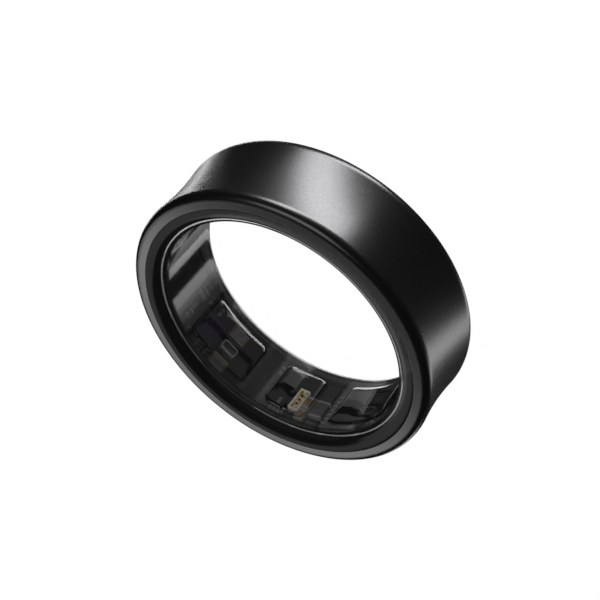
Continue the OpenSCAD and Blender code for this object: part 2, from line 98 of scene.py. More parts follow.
# Studio: a pale room for the camera and for soft fill, and a dark one for gloss, since the band in
# the photograph mirrors black flags between its lamps. The dark one is a little paler low down.
world = bpy.data.worlds.new("studio")
scene.world = world
world.use_nodes = True
nodes, links = world.node_tree.nodes, world.node_tree.links
nodes.clear()
output = nodes.new("ShaderNodeOutputWorld")
path = nodes.new("ShaderNodeLightPath")
fill = nodes.new("ShaderNodeBackground")
fill.inputs["Color"].default_value = (1, 1, 1, 1)
fill.inputs["Strength"].default_value = 0.55
flags = nodes.new("ShaderNodeBackground")
height = nodes.new("ShaderNodeSeparateXYZ")
links.new(nodes.new("ShaderNodeTexCoord").outputs["Generated"], height.inputs["Vector"])
depth = nodes.new("ShaderNodeMapRange")
depth.interpolation_type = "SMOOTHSTEP"
depth.inputs["From Min"].default_value = -0.6
depth.inputs["From Max"].default_value = -0.2
depth.inputs["To Min"].default_value = 0.04
depth.inputs["To Max"].default_value = 0.012
links.new(height.outputs["Z"], depth.inputs["Value"])
links.new(depth.outputs["Result"], flags.inputs["Strength"])
backdrop = nodes.new("ShaderNodeBackground")
backdrop.inputs["Color"].default_value = (1, 1, 1, 1)
backdrop.inputs["Strength"].default_value = 1.0
gloss_mix = nodes.new("ShaderNodeMixShader")
camera_mix = nodes.new("ShaderNodeMixShader")
seen = nodes.new("ShaderNodeMath")
seen.operation = "MAXIMUM"
links.new(path.outputs["Is Camera Ray"], seen.inputs[0])
links.new(path.outputs["Is Transmission Ray"], seen.inputs[1])
links.new(path.outputs["Is Glossy Ray"], gloss_mix.inputs["Fac"])
links.new(fill.outputs[0], gloss_mix.inputs[1])
links.new(flags.outputs[0], gloss_mix.inputs[2])
links.new(seen.outputs[0], camera_mix.inputs["Fac"])
links.new(gloss_mix.outputs[0], camera_mix.inputs[1])
links.new(backdrop.outputs[0], camera_mix.inputs[2])
links.new(camera_mix.outputs[0], output.inputs["Surface"])
scene.view_settings.view_transform = "Standard"


# Lamps: soft boxes in three sets, for the band, for the lining's gloss and for the optics inside.
# Each hangs at a direction from the ring, given as azimuth and height in degrees, and faces it.
for_band = bpy.data.collections.new("for_band")
for_lining = bpy.data.collections.new("for_lining")
for_optics = bpy.data.collections.new("for_optics")
ring_middle = Vector((0, 0, 0.0035))
lamp_far = 0.3


def softbox(name, only, azimuth, height, across, tall, radiance, roll=0.0):
    """Across and tall are the angles that the box fills, seen from the ring."""
    a, e = math.radians(azimuth), math.radians(height)
    away = Vector((math.cos(a) * math.cos(e), math.sin(a) * math.cos(e), math.sin(e)))
    bpy.ops.object.light_add(type="AREA", location=away * lamp_far + ring_middle)
    lamp = bpy.context.active_object
    lamp.name = name
    lamp.rotation_euler = (away.to_track_quat("Z", "Y").to_matrix().to_4x4()
                           @ Matrix.Rotation(math.radians(roll), 4, "Z")).to_euler()
    lamp.data.shape = "RECTANGLE"
    lamp.data.size = 2 * lamp_far * math.tan(math.radians(across / 2))
    lamp.data.size_y = 2 * lamp_far * math.tan(math.radians(tall / 2))
    lamp.data.energy = radiance * math.pi * lamp.data.size * lamp.data.size_y
    lamp.visible_camera = False
    lamp.light_linking.receiver_collection = only


softbox("band_main_strip", for_band, -77, -41, 21, 46, 7.6, -44)
softbox("band_side_strip", for_band, 139, -39, 13, 37, 2.2, -14)
softbox("band_shoulder_strip", for_band, 29, -38, 3, 37, 6.5, -16)
softbox("band_back_strip", for_band, 100, -13, 16, 14, 2.0)
softbox("band_upper_box", for_band, 288, 51, 43, 30, 1.2)
softbox("band_rim_box", for_band, 57, 28, 40, 17, 1.1)
softbox("band_rim_strip", for_band, 60, 36, 40, 4, 1.2)
softbox("band_sky_box", for_band, 60, 55, 40, 30, 0.16)
softbox("bore_left_box", for_lining, 115, -47, 10, 24, 2.2)
softbox("bore_left_end", for_lining, 100, -47, 15, 24, 0.6)
softbox("bore_key", for_lining, 151, -46.5, 10, 26, 1.6)
softbox("bore_key_step", for_lining, 154, -46.5, 15, 26, 0.9)
softbox("bore_key_side", for_lining, 157.5, -46.5, 21, 26, 0.6)
softbox("bore_key_end", for_lining, 162, -46.5, 29, 26, 0.4)
softbox("bore_front_box", for_lining, 202, -46, 27, 24, 0.2)
softbox("bore_mid_box", for_lining, 235, -46, 27, 24, 0.22)
softbox("bore_back_box", for_lining, 259, -46, 18, 24, 0.35)
softbox("bore_back_strip", for_lining, 279, -46, 20, 24, 0.9)
softbox("bore_right_box", for_lining, 309, -46, 32, 24, 0.36)
softbox("bore_end_box", for_lining, 352, -46, 33, 24, 0.6)
softbox("bore_end_strip", for_lining, 350, -38, 28, 4, 0.45)
softbox("window_glow", for_lining, 245, -86, 60, 60, 7.0)
softbox("window_fade_box", for_lining, 245, -54, 70, 12, 1.6)
softbox("window_low_box", for_lining, 22, -50, 28, 12, 4.0)
for name, azimuth, across, radiance in (
        ("window_front_box", 202, 28, 0.18), ("window_dim_box", 235, 30, 0.24),
        ("window_mid_box", 271, 33, 0.34), ("window_back_box", 309, 33, 0.34),
        ("window_side_box", 352, 36, 0.42)):
    softbox(name, for_lining, azimuth, -17, across, 30, radiance)
softbox("edge_line_low", for_lining, 61, 5, 13, 16, 2.2)
softbox("edge_line_far", for_lining, 32, 22, 46, 8, 4.4, -15)
softbox("edge_line_right", for_lining, 350, 25.5, 36, 14, 3.8)
softbox("edge_line_side", for_lining, 320, 24, 28, 18, 3.4)
softbox("edge_line_back", for_lining, 288, 17, 36, 24, 2.6)
softbox("edge_line_mid", for_lining, 243, 14, 54, 44, 0.4)
softbox("edge_line_front", for_lining, 196, 19, 32, 34, 0.9)
softbox("edge_line_near", for_lining, 169, 23, 22, 26, 1.5)
softbox("edge_line_key", for_lining, 143, 26.5, 28, 20, 2.5)
softbox("edge_line_left", for_lining, 113, 27, 24, 10, 3.9, 8)
softbox("edge_line_end", for_lining, 83, 16, 34, 7.5, 6.0, 34)
softbox("face_box", for_lining, 56, 32, 26, 22, 0.5)
softbox("face_streak", for_lining, 60, 25, 18, 10, 0.5)
softbox("face_lower_box", for_lining, 48, 0, 40, 16, 0.25)
softbox("face_foot_box", for_lining, 52, -21, 60, 24, 0.2)
softbox("face_sky_box", for_lining, 300, 60, 90, 60, 0.07)
softbox("optics_key", for_optics, 215, 42, 30, 30, 5.0)


# Outer shell: one band of titanium, turned with a hollow waist and round edges, blasted satin and
# coated black. A flat land is left bright-cut on each rim, round the lining.
mm = 0.001
mid_z = 3.5 * mm
half_w = 3.5 * mm
rim_r = 12.0003 * mm
land_r = 11.4303 * mm
land_depth = 0.1 * mm
channel_r = 11.2003 * mm
seam_r = 10.9003 * mm
lip_z = 2.9 * mm
edge_h = 0.69 * mm
edge_z = half_w - edge_h
waist_depth = 0.17 * mm
waist_steps = 22
seam_edge = 0.02 * mm
land_loop = 0.015 * mm
sharp_angle = math.radians(32)


def turned(name, outline, steps):
    """Traces a cross-section at +X, point by point, and turns it round the Z axis."""
    bpy.ops.object.select_all(action="DESELECT")
    bpy.ops.mesh.primitive_plane_add(size=0.0001, location=(outline[0][0], 0, outline[0][1]))
    piece = bpy.context.active_object
    piece.name = name
    bpy.ops.object.mode_set(mode="EDIT")
    bpy.ops.mesh.merge(type="CENTER")
    for here, there in zip(outline, outline[1:] + outline[:1]):
        bpy.ops.mesh.extrude_region_move(TRANSFORM_OT_translate={
            "value": (there[0] - here[0], 0, there[1] - here[1])})
    bpy.ops.mesh.select_all(action="SELECT")
    bpy.ops.mesh.remove_doubles(threshold=1e-7)
    bpy.ops.mesh.spin(steps=steps, angle=math.tau, center=(0, 0, 0), axis=(0, 0, 1))
    bpy.ops.mesh.select_all(action="SELECT")
    bpy.ops.mesh.remove_doubles(threshold=1e-6)
    bpy.ops.mesh.normals_make_consistent(inside=False)
    bpy.ops.object.mode_set(mode="OBJECT")
    bpy.ops.object.transform_apply(location=True, rotation=True, scale=True)
    bpy.ops.object.shade_smooth_by_angle(angle=sharp_angle)
    return piece


def rounded_edge(r, z, r_size, z_size, power, steps):
    """Points from (r + r_size, z) round to (r, z + z_size)."""
    turns = [math.pi / 2 * i / steps for i in range(steps + 1)]
    return [(r + r_size * math.cos(t) ** (2 / power), z + z_size * math.sin(t) ** (2 / power))
            for t in turns]


def finish(name):
    """A new procedural material, its shader node, and a call that adds and wires further nodes."""
    material = bpy.data.materials.new(name)
    material.use_nodes = True
    tree = material.node_tree

    def add(kind, links_in=None, **values):
        node = tree.nodes.new("ShaderNode" + kind)
        for key, value in values.items():
            if key in node.inputs.keys():
                node.inputs[key].default_value = value
            else:
                setattr(node, key, value)
        for key, source in (links_in or {}).items():
            tree.links.new(source, node.inputs[key])
        return node

    return material, tree.nodes["Principled BSDF"], add, tree.links


upper = [(rim_r - waist_depth * (1 - (i / waist_steps) ** 1.96), edge_z * i / waist_steps)
         for i in range(waist_steps)]
upper += rounded_edge(land_r, edge_z, rim_r - land_r, edge_h, power=2.24, steps=16)
upper += [(land_r - land_loop, half_w), (seam_r + seam_edge + land_loop, half_w),
          (seam_r + seam_edge, half_w), (seam_r + 0.3 * seam_edge, half_w - 0.3 * seam_edge),
          (seam_r, half_w - seam_edge), (seam_r, lip_z), (channel_r, lip_z)]
outline = [(r, z + mid_z) for r, z in upper]
outline += [(r, mid_z - z) for r, z in reversed(upper) if z > 0]
shell = turned("shell", outline, steps=256)

coating, shader, add, links = finish("satin_black_coating")
place = add("TexCoord").outputs["Object"]
grain = add("TexNoise", {"Vector": place}, Scale=9000.0, Detail=3.0, Roughness=0.6)
cloud = add("TexNoise", {"Vector": place}, Scale=260.0, Detail=3.0)
rough = add("MapRange", {"Value": cloud.outputs["Fac"]})
rough.inputs["To Min"].default_value = 0.25
rough.inputs["To Max"].default_value = 0.3
links.new(rough.outputs["Result"], shader.inputs["Roughness"])
tint = add("ValToRGB", {"Fac": grain.outputs["Fac"]})
tint.color_ramp.elements[0].position = 0.3
tint.color_ramp.elements[0].color = (0.085, 0.085, 0.087, 1)
tint.color_ramp.elements[1].position = 0.7
tint.color_ramp.elements[1].color = (0.11, 0.11, 0.112, 1)
links.new(tint.outputs["Color"], shader.inputs["Base Color"])
bump = add("Bump", {"Height": grain.outputs["Fac"]}, Strength=0.08, Distance=0.00001)
links.new(bump.outputs["Normal"], shader.inputs["Normal"])
shader.inputs["Metallic"].default_value = 1.0
shell.data.materials.append(coating)

cut, shader, add, links = finish("polished_land")
place = add("TexCoord").outputs["Object"]
lap = add("TexNoise", {"Vector": place}, Scale=7000.0, Detail=2.0)
tint = add("ValToRGB", {"Fac": lap.outputs["Fac"]})
tint.color_ramp.elements[0].color = (0.09, 0.09, 0.092, 1)
tint.color_ramp.elements[1].color = (0.11, 0.11, 0.112, 1)
links.new(tint.outputs["Color"], shader.inputs["Base Color"])
shader.inputs["Metallic"].default_value = 1.0
shader.inputs["Roughness"].default_value = 0.15
shell.data.materials.append(cut)
for face in shell.data.polygons:
    r = math.hypot(face.center.x, face.center.y)
    near_rim = abs(face.center.z - mid_z) > half_w - land_depth
    if near_rim and abs(face.normal.z) > 0.99 and seam_r < r < land_r:
        face.material_index = 1
for_band.objects.link(shell)
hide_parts("outer_shell")
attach(shell, "root")


# Inner lining: one smoky clear moulding that fills the bore, with a rounded glossy face at each rim.
# Three raised windows with crowned faces stand into the bore over the optics. Their steep soft edges
# are nearly opaque black resin without gloss: painted shade where the clear resin edges look dark.
bore_r = 9.5 * mm
wall_r = 9.85 * mm
face_r = 10.8803 * mm
flange_z = 2.75 * mm
round_z = 2.86 * mm
lead_z = 2.45 * mm
lead_in = 0.012 * mm
lead_slope = 2 * lead_in / (round_z - lead_z)
top_lead = lead_in + lead_slope * (half_w - round_z)


def lead(z):
    """How far the bore has opened at a height: a gentle lead-in before the rounded face."""
    if z < round_z:
        return lead_in * (max(z - lead_z, 0) / (round_z - lead_z)) ** 2
    return lead_in + lead_slope * (z - round_z)


upper = [(wall_r, flange_z), (face_r, flange_z)]
rounded_face = rounded_edge(face_r - top_lead, round_z, bore_r - face_r + top_lead, half_w - round_z,
                            power=2.3, steps=22)
upper += [(r + lead(z), z) for r, z in reversed(rounded_face)]
upper += [(bore_r + lead(z), z) for z in (lead_z + (round_z - lead_z) * i / 5 for i in (4, 3, 2, 1, 0))]
outline = [(r, z + mid_z) for r, z in upper]
outline += [(bore_r, mid_z + lead_z * (1 - 2 * i / 9)) for i in range(1, 9)]
outline += [(r, mid_z - z) for r, z in reversed(upper)]
lining = turned("lining", outline, steps=240)


def resin(name, wall_opacity, flange_opacity, gloss):
    """Smoky moulded resin: tinted where it is thin, dense in the flange, with a polished skin. The
    skin mirrors a twentieth of the light head on, and all of it at a glancing angle."""
    head_on = 0.047
    material, shader, add, links = finish(name)
    place = add("TexCoord").outputs["Object"]
    smoke = add("TexNoise", {"Vector": place}, Scale=220.0, Detail=2.0)
    tone = add("ValToRGB", {"Fac": smoke.outputs["Fac"]})
    tone.color_ramp.elements[0].color = (0.003, 0.003, 0.0034, 1)
    tone.color_ramp.elements[1].color = (0.0055, 0.0055, 0.006, 1)
    links.new(tone.outputs["Color"], shader.inputs["Base Color"])
    shader.inputs["Roughness"].default_value = 0.3
    shader.inputs["Specular IOR Level"].default_value = 0.0
    along = add("SeparateXYZ", {"Vector": place}).outputs["Z"]
    off_middle = add("Math", {0: along}, operation="SUBTRACT")
    off_middle.inputs[1].default_value = mid_z
    off_middle = add("Math", {0: off_middle.outputs[0]}, operation="ABSOLUTE")
    depth = add("MapRange", {"Value": off_middle.outputs[0]})
    depth.inputs["From Min"].default_value = lead_z
    depth.inputs["From Max"].default_value = flange_z
    depth.inputs["To Min"].default_value = wall_opacity
    depth.inputs["To Max"].default_value = flange_opacity
    links.new(depth.outputs["Result"], shader.inputs["Alpha"])
    if gloss:
        facing = add("LayerWeight", Blend=0.5).outputs["Facing"]
        steep = add("Math", {0: facing}, operation="POWER")
        steep.inputs[1].default_value = 5.0
        mirror = add("Math", {0: steep.outputs[0]}, operation="MULTIPLY_ADD")
        mirror.inputs[1].default_value = 1 - head_on
        mirror.inputs[2].default_value = head_on
        skin = add("BsdfAnisotropic", Roughness=gloss)
        mix = add("MixShader", {"Fac": mirror.outputs[0], 1: shader.outputs[0], 2: skin.outputs[0]})
        links.new(mix.outputs[0], material.node_tree.nodes["Material Output"].inputs["Surface"])
    return material


window_h = 4.3 * mm
window_corner = 0.68 * mm
window_foot = 0.04 * mm
foot_spread = 0.16 * mm
edge_steps = ((0.03, 0.03), (0.08, 0.004), (0.04, 0.04), (0.06, 0.02), (0.1, 0.02), (0.12, 0.014),
              (0.1, 0.006))
edge_rise = sum(depth for _, depth in edge_steps) * mm
facet = 0.12 * mm
wrap_r = 9.4 * mm
crown_h = 0.085 * mm
crown_z = -0.85 * mm
crown_reach = 2.5 * mm
crown_power = 14
face_slope = math.radians(24)


def raised_window(name, direction, length):
    """A pad with round corners, stepped edges and a crowned face, wrapped round the bore. Its steep
    faces take the second material, the painted shade of the dark window edges."""
    wide, tall = length + foot_spread, window_h
    bpy.ops.object.select_all(action="DESELECT")
    bpy.ops.mesh.primitive_plane_add(size=1)
    pad = bpy.context.active_object
    pad.name = name
    pad.scale = (wide, tall, 1)
    bpy.ops.object.transform_apply(location=False, rotation=False, scale=True)
    bpy.ops.object.mode_set(mode="EDIT")
    bpy.ops.mesh.select_all(action="SELECT")
    bpy.ops.mesh.bevel(affect="VERTICES", offset=window_corner, segments=12)
    bpy.ops.mesh.select_all(action="SELECT")
    bpy.ops.mesh.extrude_region_move(TRANSFORM_OT_translate={"value": (0, 0, window_foot)})
    for thickness, depth in edge_steps:
        bpy.ops.mesh.inset(thickness=thickness * mm, depth=depth * mm, use_boundary=True)
    for size, axis in ((wide, (1, 0, 0)), (tall, (0, 1, 0))):
        cuts = int(size / facet)
        for i in range(1, cuts):
            bpy.ops.mesh.select_all(action="SELECT")
            step = size * (i / cuts - 0.5)
            bpy.ops.mesh.bisect(plane_co=tuple(step * c for c in axis), plane_no=axis)
    bpy.ops.object.mode_set(mode="OBJECT")
    turn = math.radians(direction)
    base_r = bore_r + window_foot
    for v in pad.data.vertices:
        lift = min(max((v.co.z - window_foot) / edge_rise, 0), 1)
        across = 1 - abs(2 * v.co.x / wide) ** crown_power
        crown = crown_h * (1 - ((v.co.y - crown_z) / crown_reach) ** 2) * across
        a, r = turn + v.co.x / wrap_r, base_r - v.co.z - lift * crown
        v.co = (r * math.cos(a), r * math.sin(a), mid_z + v.co.y)
    bpy.ops.object.mode_set(mode="EDIT")
    bpy.ops.mesh.select_all(action="SELECT")
    bpy.ops.mesh.normals_make_consistent(inside=False)
    bpy.ops.object.mode_set(mode="OBJECT")
    for face in pad.data.polygons:
        inward = Vector((-face.center.x, -face.center.y, 0)).normalized()
        if face.normal.dot(inward) < math.cos(face_slope):
            face.material_index = 1
    return pad


lining.data.materials.append(resin("smoky_resin", wall_opacity=0.3, flange_opacity=0.97, gloss=0.1))
lining.data.materials.append(resin("resin_back", wall_opacity=0.05, flange_opacity=0.3, gloss=0))
clear = resin("clear_window", wall_opacity=0.2, flange_opacity=0.2, gloss=0.03)
# Steep window edges: nearly opaque dark resin without gloss, painted shade for the dark look of clear
# edges.
painted_shade_window_edge = resin("painted_shade_window_edge", wall_opacity=0.92, flange_opacity=0.95, gloss=0)
for name, direction, length in (("centre_window", 90, 3.45 * mm), ("left_window", 130, 5.6 * mm),
                                ("right_window", 50, 5.6 * mm)):
    pad = raised_window(name, direction, length)
    pad.data.materials.append(clear)
    pad.data.materials.append(painted_shade_window_edge)
    join = lining.modifiers.new("join", "BOOLEAN")
    join.operation = "UNION"
    join.solver = "EXACT"
    join.material_mode = "TRANSFER"
    join.object = pad
    bpy.ops.object.select_all(action="DESELECT")
    lining.select_set(True)
    bpy.context.view_layer.objects.active = lining
    bpy.ops.object.modifier_apply(modifier="join")
    bpy.data.objects.remove(pad)
slack = 0.05 * mm
for face in lining.data.polygons:
    r = math.hypot(face.center.x, face.center.y)
    if r > wall_r - slack and abs(face.center.z - mid_z) < flange_z + slack / 5:
        face.material_index = 1
bpy.ops.object.shade_smooth_by_angle(angle=sharp_angle)
for_lining.objects.link(lining)
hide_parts("inner_lining")
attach(lining, "root")


# Flexible circuit: one black-covered film bent round the bore, with copper tracks that show faintly
# through its cover, and rolled steel stiffeners bonded behind the three windows.
def speckled(name, dark, light, scale, roughness, metallic=0.0):
    """A finish with a fine mottle in its colour, its roughness and its surface."""
    material, shader, add, links = finish(name)
    place = add("TexCoord").outputs["Object"]
    mottle = add("TexNoise", {"Vector": place}, Scale=scale, Detail=4.0)
    tone = add("ValToRGB", {"Fac": mottle.outputs["Fac"]})
    for stop, at, colour in zip(tone.color_ramp.elements, (0.32, 0.68), (dark, light)):
        stop.position = at
        stop.color = (*colour, 1)
    links.new(tone.outputs["Color"], shader.inputs["Base Color"])
    rough = add("MapRange", {"Value": mottle.outputs["Fac"]})
    rough.inputs["To Min"].default_value = roughness * 0.85
    rough.inputs["To Max"].default_value = roughness * 1.15
    links.new(rough.outputs["Result"], shader.inputs["Roughness"])
    relief = add("Bump", {"Height": mottle.outputs["Fac"]}, Strength=0.05, Distance=0.00002)
    links.new(relief.outputs["Normal"], shader.inputs["Normal"])
    shader.inputs["Metallic"].default_value = metallic
    return material


def round_the_bore(add, place, radius):
    """Object coordinates unrolled: x is the length of arc at a radius, y the height, in metres."""
    parts = add("SeparateXYZ", {"Vector": place})
    turn = add("Math", {0: parts.outputs["Y"], 1: parts.outputs["X"]}, operation="ARCTAN2")
    arc = add("Math", {0: turn.outputs[0]}, operation="MULTIPLY")
    arc.inputs[1].default_value = radius
    return add("CombineXYZ", {"X": arc.outputs[0], "Y": parts.outputs["Z"]}).outputs["Vector"]


def tracked(name, cover, track, radius, track_len, track_h):
    """Film with fine straight tracks and pads that show through its cover."""
    material, shader, add, links = finish(name)
    flat = round_the_bore(add, add("TexCoord").outputs["Object"], radius)
    bars = add("TexBrick", {"Vector": flat}, Scale=1.0, offset=0.5)
    bars.inputs["Brick Width"].default_value = track_len
    bars.inputs["Row Height"].default_value = track_h
    bars.inputs["Mortar Size"].default_value = track_h * 0.16
    bars.inputs["Color1"].default_value = (*cover, 1)
    bars.inputs["Color2"].default_value = (*(c * 0.8 for c in cover), 1)
    bars.inputs["Mortar"].default_value = (*track, 1)
    links.new(bars.outputs["Color"], shader.inputs["Base Color"])
    shader.inputs["Roughness"].default_value = 0.42
    relief = add("Bump", {"Height": bars.outputs["Fac"]}, Strength=0.25, Distance=0.00001)
    links.new(relief.outputs["Normal"], shader.inputs["Normal"])
    return material


def dress(node, material):
    """Gives a CAD node its finish."""
    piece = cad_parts[node]
    piece.material_slots[0].material = material
    for_optics.objects.link(piece)


dress("main_flex", tracked("black_coverlay", (0.004, 0.004, 0.0045), (0.012, 0.011, 0.009),
                           radius=10.5 * mm, track_len=0.9 * mm, track_h=0.16 * mm))
steel = speckled("rolled_steel", (0.38, 0.38, 0.39), (0.5, 0.5, 0.51), 2500.0, 0.35, 1.0)
for side in ("left", "centre", "right"):
    dress(side + "_stiffener", steel)


# Chips: black moulded packages soldered to the circuit, with broken edges and a fine moulded grain,
# and two metal-lidded crystals. The radio, memory, power and charging chips face the shell.
flat_angle = math.radians(0.5)
broken_angle = math.radians(30)
smooth_angle = math.radians(40)


def softened(node, slot, edge, *materials):
    """A copy of a CAD piece with its flat faces joined and its edges broken, to stand for it."""
    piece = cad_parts[node].copy()
    piece.data = piece.data.copy()
    piece.parent = None
    piece.name = node + "_piece"
    scene.collection.objects.link(piece)
    piece.data.materials.clear()
    for material in materials:
        piece.data.materials.append(material)
    bpy.ops.object.select_all(action="DESELECT")
    piece.select_set(True)
    bpy.context.view_layer.objects.active = piece
    bpy.ops.object.mode_set(mode="EDIT")
    bpy.ops.mesh.select_mode(type="EDGE")
    bpy.ops.mesh.select_all(action="SELECT")
    bpy.ops.mesh.remove_doubles(threshold=1e-6)
    bpy.ops.mesh.dissolve_limited(angle_limit=flat_angle)
    bpy.ops.mesh.select_all(action="DESELECT")
    bpy.ops.mesh.edges_select_sharp(sharpness=broken_angle)
    bpy.ops.mesh.bevel(offset=edge, segments=2, affect="EDGES", clamp_overlap=True)
    bpy.ops.mesh.select_mode(type="VERT")
    bpy.ops.object.mode_set(mode="OBJECT")
    bpy.ops.object.shade_smooth_by_angle(angle=smooth_angle)
    stand_in(piece, slot, node)
    return piece


def stand_in(piece, slot, *nodes):
    """Hands a piece over, in place of the CAD nodes that it stands for."""
    for_optics.objects.link(piece)
    if nodes:
        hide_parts(*nodes)
    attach(piece, "root")


moulded = speckled("moulded_black", (0.006, 0.006, 0.0065), (0.013, 0.013, 0.014), 6000.0, 0.5)
for node in ("radio_processor", "memory_chip", "power_chip", "charging_chip", "accelerometer",
             "optical_front_end", "protection_chip", "temperature_sensors"):
    softened(node, "chip_plastic", 0.03 * mm, moulded)
lid = speckled("plated_lid", (0.5, 0.5, 0.49), (0.62, 0.62, 0.61), 3000.0, 0.28, 1.0)
softened("crystals", "crystal_can", 0.08 * mm, lid)


# Centre light source: a white ceramic package with a shallow cavity. Gold-plated leads run across
# the cavity's floor, and each of the three dies sits in a round gold cup.
def seat(node):
    """The direction of a piece that stands on the circuit, its inner face and its middle height."""
    low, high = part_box(node)
    angle = math.atan2(low.y + high.y, low.x + high.x)
    toward = Vector((math.cos(angle), math.sin(angle), 0))
    return angle, min(v.co.dot(toward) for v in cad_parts[node].data.vertices), (low.z + high.z) / 2


def lay(piece, angle, r, z):
    """Turns a piece that was modelled flat to face the bore: its X runs along the axis, its Y round
    the bore and its Z towards the middle."""
    turn = Matrix(((0, -math.sin(angle), -math.cos(angle)), (0, math.cos(angle), -math.sin(angle)),
                   (1, 0, 0))).to_4x4()
    piece.matrix_world = Matrix.Translation((r * math.cos(angle), r * math.sin(angle), z)) @ turn
    bpy.ops.object.select_all(action="DESELECT")
    piece.select_set(True)
    bpy.context.view_layer.objects.active = piece
    bpy.ops.object.transform_apply(location=True, rotation=True, scale=True)


def plate(name, along, across, thick, corner, edge, x=0.0, y=0.0):
    """A flat plate with round corners and a broken upper edge, its middle at x, y."""
    bpy.ops.object.select_all(action="DESELECT")
    bpy.ops.mesh.primitive_plane_add(size=1, location=(x, y, 0))
    piece = bpy.context.active_object
    piece.name = name
    piece.scale = (along, across, 1)
    bpy.ops.object.transform_apply(location=False, rotation=False, scale=True)
    bpy.ops.object.mode_set(mode="EDIT")
    bpy.ops.mesh.select_all(action="SELECT")
    bpy.ops.mesh.bevel(affect="VERTICES", offset=corner, segments=5)
    bpy.ops.mesh.select_all(action="SELECT")
    bpy.ops.mesh.extrude_region_move(TRANSFORM_OT_translate={"value": (0, 0, thick - edge)})
    bpy.ops.mesh.inset(thickness=edge, depth=edge, use_boundary=True)
    bpy.ops.mesh.select_all(action="SELECT")
    bpy.ops.mesh.normals_make_consistent(inside=False)
    bpy.ops.object.mode_set(mode="OBJECT")
    return piece


def ring(name, inner, outer, thick, x, y):
    """A flat ring with broken edges, its middle at x, y."""
    edge = thick / 4
    piece = turned(name, [(inner, 0), (outer, 0), (outer, thick - edge), (outer - edge, thick),
                          (inner + edge, thick), (inner, thick - edge)], 20)
    piece.location = (x, y, 0)
    return piece


def joined(name, pieces):
    """Joins pieces into one."""
    bpy.ops.object.select_all(action="DESELECT")
    for piece in pieces:
        piece.select_set(True)
    bpy.context.view_layer.objects.active = pieces[0]
    bpy.ops.object.transform_apply(location=True, rotation=True, scale=True)
    bpy.ops.object.join()
    bpy.context.active_object.name = name
    return bpy.context.active_object


ceramic = speckled("white_ceramic", (0.76, 0.71, 0.58), (0.86, 0.82, 0.7), 5000.0, 0.45)
gold = speckled("gold_leads", (0.62, 0.38, 0.05), (0.86, 0.58, 0.13), 4000.0, 0.35, 0.6)
glow_die = speckled("die_crystal", (0.035, 0.014, 0.006), (0.07, 0.03, 0.012), 9000.0, 0.25)
softened("centre_led_package", "package_ceramic", 0.02 * mm, ceramic)
softened("centre_led_dies", "die_crystal", 0.01 * mm, glow_die)
angle, top, z = seat("centre_led_package")
cavity = 0.12 * mm
die_pitch = 0.42 * mm
gold_t = 0.03 * mm
leads = [ring("cup", inner=0.095 * mm, outer=0.165 * mm, thick=gold_t, x=die_pitch * i, y=0.03 * mm)
         for i in (-1, 0, 1)]
leads += [plate("lead", length * mm, width * mm, gold_t, corner=0.03 * mm, edge=0.008 * mm,
                x=x * mm, y=y * mm)
          for length, width, x, y in (
              (0.42, 0.24, 0.74, -0.17), (0.22, 0.16, 0.82, 0.19), (0.42, 0.24, -0.74, -0.17),
              (0.22, 0.16, -0.82, 0.19), (0.5, 0.09, 0.27, -0.22), (0.5, 0.09, -0.27, -0.22),
              (0.4, 0.08, 0.22, 0.23), (0.2, 0.08, -0.42, 0.23))]
leads = joined("centre_led_leads", leads)
leads.data.materials.append(gold)
lay(leads, angle, top + cavity, z)
stand_in(leads, "gold_plating", "centre_led_pads")


# Black emitter: a tiny block of black moulding compound, soldered to the circuit beside the light
# source package, with a pale round lens of clear resin in its face.
black = speckled("black_moulding", (0.004, 0.004, 0.0045), (0.01, 0.01, 0.011), 7000.0, 0.4)
softened("black_emitter", "barrier_plastic", 0.02 * mm, black)
angle, top, z = seat("black_emitter")
lens = turned("emitter_lens", [(0, 0), (0.06 * mm, 0), (0.055 * mm, 0.012 * mm), (0.035 * mm, 0.022 * mm),
                               (0, 0.026 * mm)], 16)
lens.data.materials.append(speckled("lens_resin", (0.2, 0.19, 0.17), (0.3, 0.29, 0.26), 9000.0, 0.12))
lay(lens, angle, top, z)
stand_in(lens, "filter_glass")


# Bulk capacitors and the inductor: pressed ceramic and ferrite bodies with dipped tin ends, soldered
# to the circuit beside the centre window's package.
tin = speckled("dipped_tin", (0.36, 0.36, 0.35), (0.5, 0.5, 0.485), 5000.0, 0.45, 0.3)
softened("bulk_capacitors", "capacitor_ceramic", 0.03 * mm,
         speckled("tan_ceramic", (0.26, 0.18, 0.11), (0.36, 0.26, 0.165), 5000.0, 0.5))
softened("bulk_capacitor_ends", "solder_tin", 0.05 * mm, tin)
softened("inductor", "inductor_ferrite", 0.04 * mm,
         speckled("grey_ferrite", (0.08, 0.08, 0.082), (0.11, 0.11, 0.113), 5000.0, 0.5))
softened("inductor_ends", "solder_tin", 0.05 * mm, tin)


